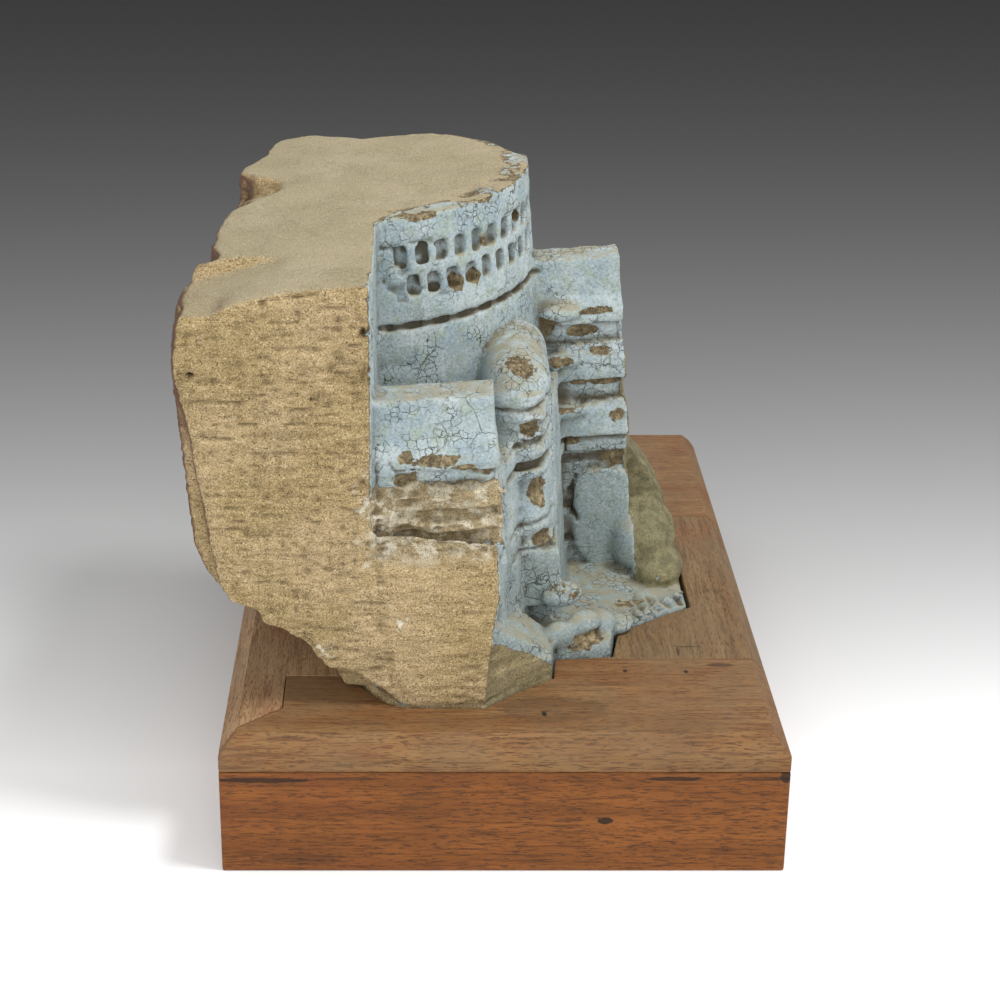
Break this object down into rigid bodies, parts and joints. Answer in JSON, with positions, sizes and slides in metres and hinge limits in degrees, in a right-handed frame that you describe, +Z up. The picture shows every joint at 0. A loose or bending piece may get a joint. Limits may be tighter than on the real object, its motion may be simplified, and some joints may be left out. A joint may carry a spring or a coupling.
{
  "type": "stone corbel fragment on a base",
  "caption": "Carved sandstone corbel fragment with a half-round latticed drum, moulded brackets and a turned pendant, let into a bevelled wooden box base.",
  "frame": {"origin": "middle of the wooden base's underside", "axes": "+Z up; the base's front board faces -Y; the carved and painted side of the stone faces +X; the raw near end of the stone faces -Y"},
  "size_m": [0.3554, 0.5, 0.3648],
  "materials": {
    "stone": "raw buff sandstone, with flaking pale blue limewash on the carved side",
    "top_wood": "waxed reclaimed hardwood, dusty brown",
    "side_wood": "waxed reclaimed hardwood, red-brown",
    "floor_wood": "plain sawn board"
  },
  "bodies": {
    "root": {"corbel_stone": "stone", "top_board_front": "top_wood", "top_board_back": "top_wood", "top_board_left": "top_wood", "top_board_right": "top_wood", "box_side_front": "side_wood", "box_side_back": "side_wood", "box_side_left": "side_wood", "box_side_right": "side_wood", "box_floor": "floor_wood"}
  },
  "joints": []
}
